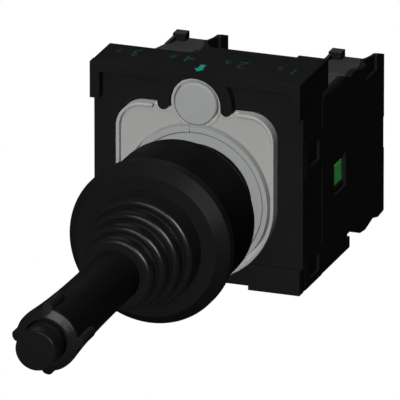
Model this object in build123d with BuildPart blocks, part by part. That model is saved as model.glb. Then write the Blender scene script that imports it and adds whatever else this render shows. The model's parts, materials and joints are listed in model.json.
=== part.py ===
from build123d import *
import math
import os

# Panel joystick for a round panel hole, with a four-slot contact holder behind the panel.
# Millimetres. +Z is up, -Y points to the hand, +Y goes into the cabinet.
# The origin is on the axis of the panel hole, on the holder's front face.
# All that stands in front of Y = 0 is outside the cabinet or in the panel hole.

# Driving dimensions.
HOLDER_SIZE = 40.0           # the carrier frame is square, seen from the front
FRAME_TOP = 0.60325 * HOLDER_SIZE    # top face of the frame above the axis
LUG_R = 0.27175 * HOLDER_SIZE        # lugs of the neck, for a 22.3 mm panel hole
MAX_PANEL = 6.0              # thickest panel between seal and holder
SLOT_PITCH = HOLDER_SIZE / 4         # one contact module every 10 mm
TILT_DEG = 15.0              # lever tilt to each side
BUTTON_STROKE = 2.5          # press of the tip button
CLAMP_STROKE = 2.0           # advance of the clamp pad
MOVING_GAP = 0.3             # air between faces that move past each other
SHAFT_FIT = 0.05             # radial clearance of a sliding shaft in its hole

# Collar and neck.
SEAL_THICK = 1.3
SEAL_INSET = 0.35            # seal stands back from the collar's edge
COLLAR_REAR = -MAX_PANEL - SEAL_THICK
SEAL_WIDTH = 0.0695 * HOLDER_SIZE
COLLAR_R = LUG_R + SHAFT_FIT + SEAL_WIDTH + SEAL_INSET
COLLAR_LENGTH = 14.1
COLLAR_FRONT = COLLAR_REAR - COLLAR_LENGTH
NECK_R = LUG_R - 0.42
NECK_END = 5.6
NECK_BORE_R = NECK_R - 1.4
LUG_END = 0.05               # lugs end just in front of the locking ring
LUG_ARC = 45.0               # four lugs, each this wide in degrees
LUG_FROM = 20.0              # first lug starts this far above +X
CAVITY_R = NECK_BORE_R + 0.65
CAVITY_REAR = -9.4
FLANGE_R = COLLAR_R + 1.22
FLANGE_RIM = 2.0
FLANGE_DEPTH = 4.3
FLANGE_FACE_R = FLANGE_R - 1.97
FLANGE_FRONT = COLLAR_FRONT - FLANGE_DEPTH

# Bellows.
BELLOWS_SEAT = 1.8           # depth of the bellows foot in the flange
BELLOWS_WALL = 0.8
RIDGES = 4
RIDGE_PITCH = 3.7
RIDGE_R = FLANGE_FACE_R - 2.8    # first ridge, next to the flange
FLANGE_BORE_R = RIDGE_R - 1.7
RIDGE_STEP = 1.2             # each ridge is this much smaller than the last
RIDGE_ROUND = 0.5
GROOVE_DEPTH = 0.5
GROOVE_WIDTH = 0.9
FIRST_RIDGE = 5.2            # front face of the first ridge, ahead of the flange

# Lever.
PIVOT_Y = -16.5
PIVOT_PIN_R = 1.5
PIN_WALL = 1.6
NOSE_X = 0.71823 * NECK_BORE_R    # rocker nose beside the lever axis
NOSE_R = 1.2
NOSE_GAP = 0.1
YOKE_IN = NOSE_X - NOSE_R - NOSE_GAP
SOCKET_R = YOKE_IN - 2 * MOVING_GAP
HUB_R = SOCKET_R - 0.4
HUB_HALF = 4.5
SOCKET_FRONT = PIVOT_Y - 6.5
TUBE_REAR = PIVOT_Y - 3.8
TUBE_R = SOCKET_R - 1.2
TUBE_BORE_R = 1.6
ROD_R = 1.3
ARM_HALF = 0.6
GRIP_START = FLANGE_FRONT - FIRST_RIDGE - 3 * RIDGE_PITCH
GRIP_R = TUBE_R + 1.4
GRIP_END = -76.0
GRIP_LENGTH = GRIP_START - GRIP_END
GRIP_END_R = GRIP_R + 1.05
CHAMBER_R = TUBE_R + 0.7
CHAMBER_START = GRIP_END + 5.5
END_RING_DEPTH = 1.4
END_RING_STEP = 0.1
RIB_R = 0.92
RIB_CENTRE = GRIP_END_R - 0.05
RIB_START = GRIP_END + 5.6
RIB_TAPER = 1.3              # the rib's rear end runs out as a cone
RIB_PROUD = 0.95             # the ribs reach past the grip's end, beside the end ring
RIB_EDGE = 0.3
BUTTON_R = CHAMBER_R - 0.34
BUTTON_FACE = GRIP_END - 6.4
BUTTON_REAR = CHAMBER_START - BUTTON_STROKE - 2.5
BUTTON_EDGE = 0.4
ROD_SEAT = 2.0               # the rod enters the button this far
STEPS_PER_TURN = 10          # straight steps in one turn of a spring

# Push rods, one on each side of the lever.
PUSH_R = 1.5
JAW = 1.2                    # wall in front of and behind the rocker nose
YOKE_WEB = 0.9
BUSH_FRONT = -9.0
BUSH_DEPTH = 4.0
BUSH_BORE_R = 2.5
TRAVEL = NOSE_X * math.radians(TILT_DEG)
ARM_FRONT = NECK_END + TRAVEL + MOVING_GAP
ARM_DEPTH = 1.4
ARM_END = ARM_FRONT + ARM_DEPTH
ARM_IN = 4.5
ARM_OUT = 1.5 * SLOT_PITCH + 2.2
ARM_HALF_Z = 2.2

# Holder.
FRAME_HALF = HOLDER_SIZE / 2
FRAME_BOTTOM = FRAME_TOP - HOLDER_SIZE
SIDE_INSET = 0.1             # frame sides stand back between their pads
BODY_HALF = FRAME_HALF - SIDE_INSET
FACE_Y = 2.1                 # the frame's main front face behind its rims
RIM = 1.83                   # thickness of the frame's top wall
WALL = 1.8                   # side walls
FRONT_WALL_REAR = NECK_END
BAY_REAR = 12.2
BAY_TOP = FRAME_TOP - 11.13
BAY_BOTTOM = FRAME_BOTTOM + 3.27
PLATE_CORNER = 4.9
PLATE_FACE_Y = 1.15
PLATE_RIM = 0.6
PLATE_DEPTH = 4.6
PLATE_BORE_R = NECK_R + 0.1
PLATE_FIT = 0.05
RING_R = 0.345 * HOLDER_SIZE
RING_LAND_R = RING_R - 1.0
PLATE_HALF = RING_R + 1.2
RING_LAND = 0.2
RING_BORE_R = NECK_R + MOVING_GAP
RING_FRONT = 0.2
RING_REAR = 3.5
PAD_R = 0.1 * HOLDER_SIZE
PAD_Z = RING_R + PAD_R + MOVING_GAP
PLATE_TOP = PAD_Z - 0.77
PAD_FRONT = 0.4
PAD_DEPTH = 2.5
PAD_EDGE = 0.25
PAD_SEAT = 0.8               # the screw enters the pad up to this wall
BULGE_R = PAD_R + 0.75
BULGE_FRONT = 0.9
BULGE_Z = PAD_Z + 0.1
TOOTH_IN_R = BULGE_R + 0.15
TOOTH_OUT_R = TOOTH_IN_R + 2.15
TOOTH_DROP = 0.5
TOOTH_GAP = 0.2
SCREW_R = 2.0
SCREW_HEAD_R = PAD_R - 0.4
SCREW_HEAD_Y = 13.0
SCREW_HEAD_DEPTH = 2.2
DRIVE_DEPTH = 1.3            # cross slot of the clamp screw
DRIVE_HALF = 0.45
DRIVE_REACH = 2.4

# Contact module.
HALF_W = SLOT_PITCH / 2 - 0.05
MODULE_FRONT = 12.4
MODULE_BACK = 46.0
ARM_TOP = FRAME_BOTTOM + 2.07    # top face of the frame's bottom arm
MODULE_BOTTOM = ARM_TOP - 1.3
CATCH_HEIGHT = 0.7
CATCH_FRONT = 18.0
CATCH_REAR = 19.5
CATCH_HALF = 1.5
LEDGE_Z = FRAME_TOP - 10.53
CREST_Z = LEDGE_Z + 2.0
OUTER_WALL = 1.2
CAVITY_HALF = HALF_W - OUTER_WALL - 0.35
TERMINAL_Z = -ARM_TOP - 3.6
CAVITY_Z = TERMINAL_Z - 2.2
CAVITY_END = MODULE_BACK - 3.0
FLAG_HALF = 1.9              # green flag behind the window
WINDOW_FRONT = MODULE_FRONT + 6.4
WINDOW_REAR = WINDOW_FRONT + 6.2
WIRE_Y = MODULE_BACK - 17.8
ARM_REAR = WIRE_Y - 0.7
WIRE_R = 1.6
NOTCH_HALF = 2.2
CAGE_FRONT = WIRE_Y - 3.0
CAGE_REAR = WIRE_Y + 6.4
CAGE_HALF_X = CAVITY_HALF - 0.5
CAGE_HALF_Z = 1.9
CAGE_WALL_X = 0.8
CAGE_WALL_Y = 1.2
TERMINAL_SCREW_R = 1.5
TERMINAL_HEAD_R = 2.4
STRIP_Y = WIRE_Y + 2.7
STRIP_THICK = 0.7
STRIP_HALF = CAGE_HALF_X - CAGE_WALL_X - 0.2
RIVET_Z = CAVITY_Z - 2.1
RIVET_R = 1.1
RIVET_DEPTH = 0.6
BRIDGE_THICK = 0.65
RIVET_FRONT = STRIP_Y - RIVET_DEPTH
CONTACT_GAP = TRAVEL + 0.05  # at rest; nearly closed at full tilt
BRIDGE_Y = RIVET_FRONT - CONTACT_GAP - RIVET_DEPTH - BRIDGE_THICK
PLUNGER_END = CAVITY_END - 10.0
STEM_HALF = FLAG_HALF + 0.1
SLIDER_FRONT = MODULE_FRONT + 3.9
SLIDER_REAR = BRIDGE_Y - 3.3
SLOTS = [SLOT_PITCH * (i - 1.5) for i in range(4)]

os.makedirs("parts", exist_ok=True)


def save(part, label):
    """Name a piece and write it to its own file."""
    part.label = label
    export_step(part, f"parts/{label}.step")


def block(x0, x1, y0, y1, z0, z1, mode=Mode.ADD):
    """A box between two corners, in the current builder."""
    with Locations(((x0 + x1) / 2, (y0 + y1) / 2, (z0 + z1) / 2)):
        Box(abs(x1 - x0), abs(y1 - y0), abs(z1 - z0), mode=mode)


def disc(x, z, radius, y0, y1, mode=Mode.ADD):
    """A cylinder along Y from y0 to y1, in the current builder."""
    with Locations(Location((x, (y0 + y1) / 2, z), (90, 0, 0))):
        Cylinder(radius, abs(y1 - y0), mode=mode)


def front_sketch(y):
    """The plane seen from the front at depth y. Extrude a negative amount to go deeper."""
    return Plane.XZ.offset(-y)


# The collar stands in front of the panel and its neck goes through the hole. Four lugs on
# the neck centre it in the hole. The lever's pivot pin crosses the collar.
with BuildPart() as collar_body:
    disc(0, 0, COLLAR_R, COLLAR_FRONT, COLLAR_REAR)
    disc(0, 0, NECK_R, COLLAR_REAR, NECK_END)
    with BuildSketch(front_sketch(COLLAR_REAR)):
        Circle(LUG_R)
        for lug in range(4):
            start = math.radians(LUG_FROM + LUG_ARC + 90 * lug)
            end = math.radians(LUG_FROM + 90 + 90 * lug)
            reach = 2 * LUG_R
            Polygon(
                (0, 0),
                (reach * math.cos(start), reach * math.sin(start)),
                (reach * math.cos(end), reach * math.sin(end)),
                align=None,
                mode=Mode.SUBTRACT,
            )
    extrude(amount=COLLAR_REAR - LUG_END)
    disc(0, 0, CAVITY_R, COLLAR_FRONT, CAVITY_REAR, Mode.SUBTRACT)
    disc(0, 0, NECK_BORE_R, CAVITY_REAR, NECK_END, Mode.SUBTRACT)
    with Locations((0, PIVOT_Y, 0)):
        Cylinder(PIVOT_PIN_R, 2 * (COLLAR_R - PIN_WALL), mode=Mode.SUBTRACT)
save(collar_body.part, "collar_body")

with BuildPart() as pivot_pin:
    with Locations((0, PIVOT_Y, 0)):
        Cylinder(PIVOT_PIN_R, 2 * (COLLAR_R - PIN_WALL))
    chamfer(pivot_pin.edges().filter_by(GeomType.CIRCLE), 0.2 * PIVOT_PIN_R)
save(pivot_pin.part, "pivot_pin")

# The flange closes the collar and holds the foot of the bellows in a counterbore.
with BuildPart() as front_flange:
    with BuildSketch(Plane.XY):
        with BuildLine():
            Polyline(
                (FLANGE_BORE_R, COLLAR_FRONT),
                (FLANGE_R, COLLAR_FRONT),
                (FLANGE_R, COLLAR_FRONT - FLANGE_RIM),
                (FLANGE_FACE_R, FLANGE_FRONT),
                (RIDGE_R, FLANGE_FRONT),
                (RIDGE_R, FLANGE_FRONT + BELLOWS_SEAT),
                (FLANGE_BORE_R, FLANGE_FRONT + BELLOWS_SEAT),
                close=True,
            )
        make_face()
    revolve(axis=Axis.Y)
save(front_flange.part, "front_flange")

with BuildPart() as panel_seal:
    with BuildSketch(Plane.XY):
        with BuildLine():
            Polyline(
                (LUG_R + SHAFT_FIT, COLLAR_REAR),
                (COLLAR_R - SEAL_INSET, COLLAR_REAR),
                (COLLAR_R - SEAL_INSET, COLLAR_REAR + SEAL_THICK * 0.6),
                (COLLAR_R - 2.5 * SEAL_INSET, COLLAR_REAR + SEAL_THICK),
                (LUG_R + SHAFT_FIT, COLLAR_REAR + SEAL_THICK),
                close=True,
            )
        make_face()
    revolve(axis=Axis.Y)
save(panel_seal.part, "panel_seal")


# The bellows is one thin rubber skin. Outside it steps down in four ridges with bevelled
# rims and a narrow groove behind each next ridge. Inside it follows as a plain cone.
def bellows_steps():
    """Outer corner points of the skin, from the flange to the grip."""
    points = []
    for i in range(RIDGES):
        ridge_r = RIDGE_R - RIDGE_STEP * i
        face_y = FLANGE_FRONT - FIRST_RIDGE - RIDGE_PITCH * i
        if i:
            groove_y = face_y + RIDGE_PITCH
            points.append((ridge_r - GROOVE_DEPTH, groove_y))
            points.append((ridge_r - GROOVE_DEPTH, groove_y - GROOVE_WIDTH / 2))
            points.append((ridge_r, groove_y - GROOVE_WIDTH))
        points.append((ridge_r, face_y + 0.7 * RIDGE_ROUND))
        points.append((ridge_r - 0.7 * RIDGE_ROUND, face_y))
    return points


with BuildPart() as bellows:
    last_groove_r = RIDGE_R - RIDGE_STEP * (RIDGES - 1) - GROOVE_DEPTH
    with BuildSketch(Plane.XY):
        with BuildLine():
            Polyline(
                (RIDGE_R, FLANGE_FRONT + BELLOWS_SEAT),
                *bellows_steps(),
                (TUBE_R, GRIP_START),
                (TUBE_R, GRIP_START + BELLOWS_WALL),
                (last_groove_r - BELLOWS_WALL, GRIP_START + BELLOWS_WALL),
                (last_groove_r - BELLOWS_WALL, GRIP_START + RIDGE_PITCH),
                (RIDGE_R - RIDGE_STEP - GROOVE_DEPTH - BELLOWS_WALL, FLANGE_FRONT - FIRST_RIDGE),
                (FLANGE_BORE_R, FLANGE_FRONT),
                (FLANGE_BORE_R, FLANGE_FRONT + BELLOWS_SEAT),
                close=True,
            )
        make_face()
    revolve(axis=Axis.Y)
save(bellows.part, "bellows")

# The guide bush sits in the neck and guides both push rods.
with BuildPart() as guide_bush:
    disc(0, 0, NECK_BORE_R, BUSH_FRONT, BUSH_FRONT + BUSH_DEPTH)
    for side in (-1, 1):
        disc(
            side * NOSE_X, 0, PUSH_R + SHAFT_FIT, BUSH_FRONT, BUSH_FRONT + BUSH_DEPTH, Mode.SUBTRACT
        )
    disc(0, 0, BUSH_BORE_R, BUSH_FRONT, BUSH_FRONT + BUSH_DEPTH, Mode.SUBTRACT)
save(guide_bush.part, "guide_bush")

# The rocker turns on the pivot pin. A nose on each side moves one push rod, and the
# socket in front takes the lever tube.
with BuildPart() as lever_rocker:
    with Locations((0, PIVOT_Y, 0)):
        Cylinder(HUB_R, 2 * HUB_HALF)
    disc(0, 0, SOCKET_R, SOCKET_FRONT, PIVOT_Y)
    block(-NOSE_X, NOSE_X, PIVOT_Y - ARM_HALF, PIVOT_Y + ARM_HALF, -PUSH_R, PUSH_R)
    with Locations((-NOSE_X, PIVOT_Y, 0), (NOSE_X, PIVOT_Y, 0)):
        Cylinder(NOSE_R, 2 * PUSH_R)
    with Locations((0, PIVOT_Y, 0)):
        Cylinder(PIVOT_PIN_R + SHAFT_FIT, 2 * (HUB_HALF + SOCKET_R), mode=Mode.SUBTRACT)
    disc(0, 0, TUBE_R, SOCKET_FRONT, TUBE_REAR, Mode.SUBTRACT)
    disc(0, 0, TUBE_BORE_R, SOCKET_FRONT, PIVOT_Y - PIVOT_PIN_R - 0.4, Mode.SUBTRACT)
save(lever_rocker.part, "lever_rocker")

with BuildPart() as lever_tube:
    disc(0, 0, TUBE_R, CHAMBER_START, TUBE_REAR)
    disc(0, 0, TUBE_BORE_R, CHAMBER_START, TUBE_REAR, Mode.SUBTRACT)
save(lever_tube.part, "lever_tube")

# The grip widens towards its end and carries four short ribs that run out into it.
with BuildPart() as lever_grip:
    with BuildSketch(Plane.XY):
        with BuildLine():
            Polyline(
                (GRIP_R, GRIP_START),
                (GRIP_R + 0.12, GRIP_START - 0.48 * GRIP_LENGTH),
                (GRIP_R + 0.35, GRIP_START - 0.70 * GRIP_LENGTH),
                (GRIP_R + 0.68, GRIP_START - 0.85 * GRIP_LENGTH),
                (GRIP_END_R, GRIP_END),
                (CHAMBER_R, GRIP_END),
                (CHAMBER_R, CHAMBER_START),
                (TUBE_R, CHAMBER_START),
                (TUBE_R, GRIP_START),
                close=True,
            )
        make_face()
    revolve(axis=Axis.Y)
    for turn in range(4):
        angle = math.radians(90 * turn)
        rib_x = RIB_CENTRE * math.cos(angle)
        rib_z = RIB_CENTRE * math.sin(angle)
        rib_front = GRIP_END - RIB_PROUD
        disc(rib_x, rib_z, RIB_R, rib_front + RIB_EDGE, RIB_START)
        with Locations(Location((rib_x, rib_front + RIB_EDGE / 2, rib_z), (90, 0, 0))):
            Cone(RIB_R, RIB_R - RIB_EDGE, RIB_EDGE)
        with Locations(Location((rib_x, RIB_START + RIB_TAPER / 2, rib_z), (-90, 0, 0))):
            Cone(RIB_R, 0.4 * RIB_R, RIB_TAPER)
    disc(0, 0, CHAMBER_R, GRIP_END - RIB_PROUD, CHAMBER_START, Mode.SUBTRACT)
save(lever_grip.part, "lever_grip")

# A bevelled ring closes the grip around the tip button. The ribs' ends fit into its edge.
with BuildPart() as grip_end_ring:
    with BuildSketch(Plane.XY):
        with BuildLine():
            Polyline(
                (CHAMBER_R, GRIP_END),
                (GRIP_END_R - END_RING_STEP, GRIP_END),
                (GRIP_END_R - END_RING_STEP, GRIP_END - 0.36 * END_RING_DEPTH),
                (CHAMBER_R + 0.4, GRIP_END - END_RING_DEPTH),
                (CHAMBER_R, GRIP_END - END_RING_DEPTH),
                close=True,
            )
        make_face()
    revolve(axis=Axis.Y)
    for turn in range(4):
        angle = math.radians(90 * turn)
        rib_x = RIB_CENTRE * math.cos(angle)
        rib_z = RIB_CENTRE * math.sin(angle)
        disc(rib_x, rib_z, RIB_R, GRIP_END - END_RING_DEPTH, GRIP_END, Mode.SUBTRACT)
save(grip_end_ring.part, "grip_end_ring")

with BuildPart() as tip_button:
    disc(0, 0, BUTTON_R, BUTTON_FACE, BUTTON_REAR)
    chamfer(tip_button.edges().group_by(Axis.Y)[0], BUTTON_EDGE)
    disc(0, 0, ROD_R, BUTTON_REAR - ROD_SEAT, BUTTON_REAR, Mode.SUBTRACT)
save(tip_button.part, "tip_button")

# The rod of the tip button runs through the lever tube to the interlock near the pivot.
with BuildPart() as button_rod:
    disc(0, 0, ROD_R, BUTTON_REAR - ROD_SEAT, PIVOT_Y - PIVOT_PIN_R - BUTTON_STROKE - 0.7)
    chamfer(button_rod.edges().group_by(Axis.Y)[-1], 0.4 * ROD_R)
save(button_rod.part, "button_rod")


def coil(x, z, y0, y1, radius, wire, turns):
    """A compression spring along Y: square wire in short straight steps, with plain ends."""
    steps = STEPS_PER_TURN * turns
    rise = (y1 - y0 - 3 * wire) / steps
    points = []
    for i in range(steps + 1):
        angle = 2 * math.pi * i / STEPS_PER_TURN
        y = y0 + 1.5 * wire + rise * i
        points.append((x + radius * math.cos(angle), y, z + radius * math.sin(angle)))
    with BuildPart() as spring:
        with BuildLine() as path:
            Polyline(*points)
        with BuildSketch(Plane(origin=points[0], x_dir=(1, 0, 0), z_dir=path.line % 0)):
            Rectangle(2 * wire, 2 * wire)
        sweep(transition=Transition.RIGHT)
    return spring.part


button_spring_r = (CHAMBER_R + ROD_R) / 2 - 0.3
save(coil(0, 0, BUTTON_REAR, CHAMBER_START, button_spring_r, 0.3, 3), "button_spring")


# A push rod ends in a yoke around the rocker's nose. The nose slides across in the yoke
# while the lever tilts, and takes the rod along the neck.
def push_rod(side):
    slot_half = NOSE_R + NOSE_GAP
    web_in = NOSE_X + NOSE_R + MOVING_GAP
    yoke_front = PIVOT_Y - slot_half - JAW
    yoke_rear = PIVOT_Y + slot_half + JAW
    slot_front = PIVOT_Y - slot_half
    slot_rear = PIVOT_Y + slot_half
    with BuildPart() as rod:
        block(side * YOKE_IN, side * (web_in + YOKE_WEB), yoke_front, yoke_rear, -PUSH_R, PUSH_R)
        block(
            side * YOKE_IN, side * web_in, slot_front, slot_rear, -PUSH_R, PUSH_R, Mode.SUBTRACT
        )
        disc(side * NOSE_X, 0, PUSH_R, yoke_rear, ARM_END)
    return rod.part


# The transfer arm takes the push from the narrow neck out to the column of its module.
def transfer_arm(side):
    with BuildPart() as arm:
        block(side * ARM_IN, side * ARM_OUT, ARM_FRONT, ARM_END, -ARM_HALF_Z, ARM_HALF_Z)
        fillet(arm.edges().filter_by(Axis.Y), 0.5 * ARM_HALF_Z)
        disc(side * NOSE_X, 0, PUSH_R, ARM_FRONT, ARM_END, Mode.SUBTRACT)
    return arm.part


for side, word in ((1, "right"), (-1, "left")):
    spring_front = PIVOT_Y + NOSE_R + NOSE_GAP + JAW
    spring_r = PUSH_R + 0.45
    save(push_rod(side), f"{word}_push_rod")
    save(transfer_arm(side), f"{word}_transfer_arm")
    save(
        coil(side * NOSE_X, 0, spring_front, BUSH_FRONT, spring_r, 0.2, 3),
        f"{word}_centring_spring",
    )


# Outline of the holder plate: square above, half round below, with a round bulge behind
# the clamp pad and a notch on each side of it for the frame's teeth.
def plate_outline(gap):
    tooth_mid = (TOOTH_IN_R + TOOTH_OUT_R) / 2
    tooth_half = (TOOTH_OUT_R - TOOTH_IN_R) / 2 + TOOTH_GAP - gap
    with BuildSketch() as outline:
        with Locations((0, PLATE_TOP / 2)):
            Rectangle(2 * (PLATE_HALF + gap), PLATE_TOP + 2 * gap)
        fillet(outline.vertices().group_by(Axis.Y)[-1], PLATE_CORNER)
        Circle(PLATE_HALF + gap)
        for side in (-1, 1):
            with Locations((side * tooth_mid, BULGE_Z - TOOTH_DROP)):
                Circle(tooth_half, mode=Mode.SUBTRACT)
                Rectangle(
                    2 * tooth_half, 4, align=(Align.CENTER, Align.MIN), mode=Mode.SUBTRACT
                )
        with Locations((0, BULGE_Z)):
            Circle(BULGE_R + gap)
    return outline.sketch


# The plate carries the locking ring in a round pocket and the clamp pad in a smaller one.
with BuildPart() as holder_plate:
    with BuildSketch(front_sketch(PLATE_FACE_Y)):
        add(plate_outline(0))
    extrude(amount=PLATE_FACE_Y - PLATE_DEPTH)
    with BuildSketch(front_sketch(0)) as rim:
        with Locations((0, PLATE_TOP / 2)):
            Rectangle(2 * PLATE_HALF, PLATE_TOP)
        fillet(rim.vertices().group_by(Axis.Y)[-1], PLATE_CORNER)
        Circle(PLATE_HALF)
        with BuildSketch(mode=Mode.SUBTRACT) as inside:
            with Locations((0, PLATE_TOP / 2 - PLATE_RIM)):
                Rectangle(2 * (PLATE_HALF - PLATE_RIM), PLATE_TOP)
            fillet(inside.vertices().group_by(Axis.Y)[-1], PLATE_CORNER - PLATE_RIM)
            Circle(PLATE_HALF - PLATE_RIM)
        with Locations((0, PLATE_TOP)):
            Rectangle(2 * (TOOTH_OUT_R + 1), 1.5 * PAD_R, mode=Mode.SUBTRACT)
    extrude(amount=-PLATE_FACE_Y)
    disc(0, BULGE_Z, BULGE_R, BULGE_FRONT, PLATE_FACE_Y)
    disc(0, 0, RING_R + MOVING_GAP, 0, RING_REAR + MOVING_GAP, Mode.SUBTRACT)
    disc(0, PAD_Z, PAD_R + MOVING_GAP, 0, PAD_FRONT + PAD_DEPTH + MOVING_GAP, Mode.SUBTRACT)
    disc(0, 0, PLATE_BORE_R, 0, PLATE_DEPTH, Mode.SUBTRACT)
    disc(0, PAD_Z, SCREW_R + SHAFT_FIT, 0, PLATE_DEPTH, Mode.SUBTRACT)
save(holder_plate.part, "holder_plate")

# The locking ring turns around the neck. Its outer land stands proud, with one tick.
with BuildPart() as locking_ring:
    disc(0, 0, RING_R, RING_FRONT, RING_REAR)
    disc(0, 0, RING_LAND_R, RING_FRONT, RING_FRONT + RING_LAND, Mode.SUBTRACT)
    disc(0, 0, RING_BORE_R, RING_FRONT, RING_REAR, Mode.SUBTRACT)
    block(
        -1.1, -0.75, RING_FRONT, RING_FRONT + 1.5 * RING_LAND, RING_LAND_R - 0.5, RING_R, Mode.SUBTRACT
    )
save(locking_ring.part, "locking_ring")

with BuildPart() as clamp_pad:
    disc(0, PAD_Z, PAD_R, PAD_FRONT, PAD_FRONT + PAD_DEPTH)
    chamfer(clamp_pad.edges().group_by(Axis.Y)[0], PAD_EDGE)
    disc(0, PAD_Z, SCREW_R, PAD_FRONT + PAD_SEAT, PAD_FRONT + PAD_DEPTH, Mode.SUBTRACT)
save(clamp_pad.part, "clamp_pad")

with BuildPart() as clamp_screw:
    slot_end = SCREW_HEAD_Y + SCREW_HEAD_DEPTH
    slot_start = slot_end - DRIVE_DEPTH
    disc(0, PAD_Z, SCREW_R, PAD_FRONT + PAD_SEAT, SCREW_HEAD_Y)
    disc(0, PAD_Z, SCREW_HEAD_R, SCREW_HEAD_Y, slot_end)
    chamfer(clamp_screw.edges().group_by(Axis.Y)[-1], 0.4)
    block(
        -DRIVE_REACH, DRIVE_REACH, slot_start, slot_end,
        PAD_Z - DRIVE_HALF, PAD_Z + DRIVE_HALF, Mode.SUBTRACT,
    )
    block(
        -DRIVE_HALF, DRIVE_HALF, slot_start, slot_end,
        PAD_Z - DRIVE_REACH, PAD_Z + DRIVE_REACH, Mode.SUBTRACT,
    )
save(clamp_screw.part, "clamp_screw")

# The carrier frame holds the plate in front and up to four modules behind. Its bottom arm
# reaches under the modules, with a wire notch for each slot.
with BuildPart() as carrier_frame:
    block(-BODY_HALF, BODY_HALF, FACE_Y, BAY_REAR, FRAME_BOTTOM, FRAME_TOP)
    block(-FRAME_HALF, FRAME_HALF, 0, FACE_Y, FRAME_TOP - RIM, FRAME_TOP)
    for side in (-1, 1):
        outer = side * FRAME_HALF
        rim_low = FRAME_TOP - 0.172 * HOLDER_SIZE
        foot_in = side * 0.255 * HOLDER_SIZE
        foot_high = FRAME_BOTTOM + 0.11675 * HOLDER_SIZE
        block(side * (FRAME_HALF - WALL), outer, 0, FACE_Y, rim_low, FRAME_TOP - RIM)
        block(foot_in, outer, 0, FACE_Y, FRAME_BOTTOM, foot_high)
    # Round rib around the clamp pad. Its two legs end in round teeth beside the pad.
    with BuildSketch(front_sketch(0)):
        with Locations((0, BULGE_Z)):
            Circle(TOOTH_OUT_R)
            Rectangle(
                2 * TOOTH_OUT_R, 2 * PAD_R, align=(Align.CENTER, Align.MAX), mode=Mode.SUBTRACT
            )
        for side in (-1, 1):
            with Locations((side * (TOOTH_IN_R + TOOTH_OUT_R) / 2, BULGE_Z - TOOTH_DROP)):
                Rectangle(
                    TOOTH_OUT_R - TOOTH_IN_R, TOOTH_DROP, align=(Align.CENTER, Align.MIN)
                )
                Circle((TOOTH_OUT_R - TOOTH_IN_R) / 2)
    extrude(amount=-FACE_Y)
    disc(0, BULGE_Z, TOOTH_IN_R, 0, FACE_Y, Mode.SUBTRACT)
    block(-TOOTH_OUT_R, TOOTH_OUT_R, 0, FACE_Y, FRAME_TOP, FRAME_TOP + PAD_R, Mode.SUBTRACT)
    # Pocket of the plate, then the hole of the neck and the bay behind it.
    with BuildSketch(front_sketch(FACE_Y)):
        add(plate_outline(PLATE_FIT))
    extrude(amount=FACE_Y - PLATE_DEPTH, mode=Mode.SUBTRACT)
    disc(0, 0, NECK_R + 0.25, FACE_Y, FRONT_WALL_REAR, Mode.SUBTRACT)
    bay_half = BODY_HALF - WALL
    block(
        -bay_half, bay_half, FRONT_WALL_REAR, BAY_REAR, BAY_BOTTOM, BAY_TOP, Mode.SUBTRACT
    )
    # The top wall is cut back on one side and reaches over the modules on the other.
    step_x = BODY_HALF - 5.6
    step_in = -0.33 * SLOT_PITCH
    step_low = FRAME_TOP - 6.53
    step_y = BAY_REAR - 1.8
    shelf = FRAME_TOP - RIM
    block(-FRAME_HALF, step_in, step_y, BAY_REAR, step_low, FRAME_TOP, Mode.SUBTRACT)
    block(step_in, step_x, BAY_REAR, BAY_REAR + 2.3, shelf, FRAME_TOP)
    block(step_x, BODY_HALF, BAY_REAR, BAY_REAR + 3.4, shelf, FRAME_TOP)
    block(BODY_HALF - WALL, BODY_HALF, BAY_REAR, BAY_REAR + 3.4, shelf - 3.6, FRAME_TOP)
    # Screw of the clamp pad.
    disc(0, PAD_Z, SCREW_R + SHAFT_FIT, 0, BAY_REAR, Mode.SUBTRACT)
    head_front = SCREW_HEAD_Y - CLAMP_STROKE - MOVING_GAP
    disc(0, PAD_Z, SCREW_HEAD_R + MOVING_GAP, head_front, BAY_REAR, Mode.SUBTRACT)
    # Bottom arm with wire notches and one catch per slot.
    block(-BODY_HALF, BODY_HALF, BAY_REAR, ARM_REAR, FRAME_BOTTOM, ARM_TOP)
    notch_front = WIRE_Y - WIRE_R - 0.7
    for x in SLOTS:
        block(
            x - NOTCH_HALF, x + NOTCH_HALF, notch_front, ARM_REAR,
            FRAME_BOTTOM, ARM_TOP, Mode.SUBTRACT,
        )
        block(
            x - CATCH_HALF, x + CATCH_HALF, CATCH_FRONT, CATCH_REAR,
            ARM_TOP, ARM_TOP + CATCH_HEIGHT,
        )
    # Pads on both sides, each with a shallow recess.
    for side in (-1, 1):
        inner = side * (BODY_HALF - 0.4)
        outer = side * FRAME_HALF
        for low, high, margin in (
            (BAY_TOP - 8.0, BAY_TOP - 0.8, 1.75),
            (FRAME_BOTTOM, BAY_BOTTOM + 2.7, 1.4),
        ):
            block(inner, outer, 3.3, BAY_REAR, low, high)
            block(
                inner, outer, 6.0, BAY_REAR - 1.6, low + margin, high - margin, Mode.SUBTRACT
            )
save(carrier_frame.part, "carrier_frame")


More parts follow.
